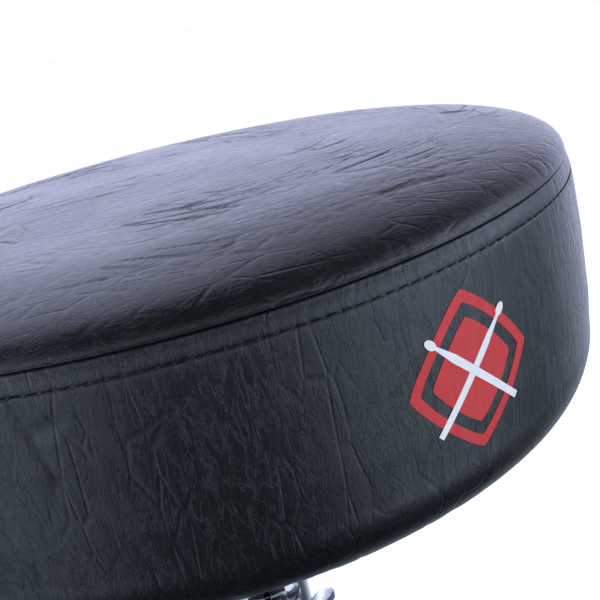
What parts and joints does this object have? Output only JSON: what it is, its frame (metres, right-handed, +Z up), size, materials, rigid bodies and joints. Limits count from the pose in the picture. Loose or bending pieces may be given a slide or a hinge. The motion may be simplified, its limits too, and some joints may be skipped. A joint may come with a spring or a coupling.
{
  "type": "drum throne",
  "caption": "Round padded drum seat on a height-adjustable clamped post, held by a folding double-braced tripod with rubber feet.",
  "frame": {"origin": "floor level, under the middle of the outline box; the post's axis stands at y = -0.0456 m", "axes": "+Z up along the post; +Y towards the rear leg; +X to the right seen from the front"},
  "size_m": [0.4502, 0.4242, 0.4836],
  "materials": {
    "black_vinyl": "satin",
    "seat_foam": "matte",
    "plywood": "matte",
    "black_cloth": "matte",
    "chrome": "polished",
    "zinc": "satin",
    "black_nylon": "satin",
    "black_rubber": "matte"
  },
  "bodies": {
    "root": {"outer_tube": "chrome", "tube_end_plug": "black_rubber", "post_bushing": "black_nylon", "height_collar": "chrome", "height_clamp_bolt": "zinc", "height_washer": "zinc", "lower_hub": "chrome", "lower_hub_screw": "zinc", "brace_1_hub_pin": "zinc", "brace_2_hub_pin": "zinc", "brace_3_hub_pin": "zinc"},
    "post": {"seat_post": "chrome", "post_end_plug": "black_nylon", "memory_lock": "chrome", "memory_lock_screw": "zinc"},
    "seat": {"seat_top_panel": "black_vinyl", "seat_side_band": "black_vinyl", "seat_foam": "seat_foam", "seat_board": "plywood", "seat_dust_cover": "black_cloth", "seat_bracket": "zinc", "seat_bolt_1": "zinc", "seat_bolt_2": "zinc", "seat_bolt_3": "zinc", "seat_bolt_4": "zinc", "tee_nut_1": "zinc", "tee_nut_2": "zinc", "tee_nut_3": "zinc", "tee_nut_4": "zinc", "bracket_clamp_bolt": "zinc", "bracket_washer": "zinc"},
    "bracket_wing": {"bracket_wing_nut": "chrome"},
    "height_wing": {"height_wing_nut": "chrome"},
    "hub_slider": {"upper_hub": "chrome", "leg_1_hub_pin": "zinc", "leg_2_hub_pin": "zinc", "leg_3_hub_pin": "zinc"},
    "hub_wing": {"hub_wing_screw": "chrome"},
    "leg_1": {"leg_1_strip_left": "chrome", "leg_1_strip_right": "chrome", "leg_1_brace_pin": "zinc", "leg_1_foot_pin": "zinc", "foot_1": "black_rubber"},
    "leg_2": {"leg_2_strip_left": "chrome", "leg_2_strip_right": "chrome", "leg_2_brace_pin": "zinc", "leg_2_foot_pin": "zinc", "foot_2": "black_rubber"},
    "leg_3": {"leg_3_strip_left": "chrome", "leg_3_strip_right": "chrome", "leg_3_brace_pin": "zinc", "leg_3_foot_pin": "zinc", "foot_3": "black_rubber"},
    "brace_1": {"brace_1_left": "chrome", "brace_1_right": "chrome"},
    "brace_2": {"brace_2_left": "chrome", "brace_2_right": "chrome"},
    "brace_3": {"brace_3_left": "chrome", "brace_3_right": "chrome"}
  },
  "joints": [
    {"name": "tripod_fold", "type": "hinge", "parent": "root", "child": "brace_1", "pos_m": [0, -0.01558, 0.07161], "axis": [1, 0, 0], "range_deg": [0, 44]},
    {"name": "leg_1_fold", "type": "hinge", "parent": "brace_1", "child": "leg_1", "pos_m": [0, 0.05251, 0.12481], "axis": [-1, 0, 0], "range_deg": [0, 88]},
    {"name": "hub_lift", "type": "hinge", "parent": "leg_1", "child": "hub_slider", "pos_m": [0, -0.01558, 0.178], "axis": [1, 0, 0], "range_deg": [0, 44]},
    {"name": "leg_2_fold", "type": "hinge", "parent": "hub_slider", "child": "leg_2", "pos_m": [-0.02598, -0.06057, 0.178], "axis": [0.5, -0.866, 0], "range_deg": [0, 44]},
    {"name": "leg_3_fold", "type": "hinge", "parent": "hub_slider", "child": "leg_3", "pos_m": [0.02598, -0.06057, 0.178], "axis": [0.5, 0.866, 0], "range_deg": [0, 44]},
    {"name": "brace_2_fold", "type": "hinge", "parent": "root", "child": "brace_2", "pos_m": [-0.02598, -0.06057, 0.07161], "axis": [-0.5, 0.866, 0], "range_deg": [0, 44]},
    {"name": "brace_3_fold", "type": "hinge", "parent": "root", "child": "brace_3", "pos_m": [0.02598, -0.06057, 0.07161], "axis": [-0.5, -0.866, 0], "range_deg": [0, 44]},
    {"name": "seat_height", "type": "slide", "parent": "root", "child": "post", "axis": [0, 0, 1], "range_m": [0, 0.15]},
    {"name": "seat_swivel", "type": "hinge", "parent": "post", "child": "seat", "pos_m": [0, -0.04557, 0.345], "axis": [0, 0, 1], "continuous": true},
    {"name": "bracket_wing_turn", "type": "hinge", "parent": "seat", "child": "bracket_wing", "pos_m": [0.0165, -0.07858, 0.345], "axis": [1, 0, 0], "continuous": true},
    {"name": "height_wing_turn", "type": "hinge", "parent": "root", "child": "height_wing", "pos_m": [0.0165, -0.07858, 0.282], "axis": [1, 0, 0], "continuous": true},
    {"name": "hub_wing_turn", "type": "hinge", "parent": "hub_slider", "child": "hub_wing", "pos_m": [0.03204, -0.02707, 0.178], "axis": [0.866, 0.5, 0], "continuous": true}
  ],
  "couplings": [
    {"joint": "leg_1_fold", "follows": "tripod_fold", "ratio": 2},
    {"joint": "hub_lift", "follows": "tripod_fold", "ratio": 1},
    {"joint": "leg_2_fold", "follows": "tripod_fold", "ratio": 1},
    {"joint": "leg_3_fold", "follows": "tripod_fold", "ratio": 1},
    {"joint": "brace_2_fold", "follows": "tripod_fold", "ratio": 1},
    {"joint": "brace_3_fold", "follows": "tripod_fold", "ratio": 1}
  ]
}
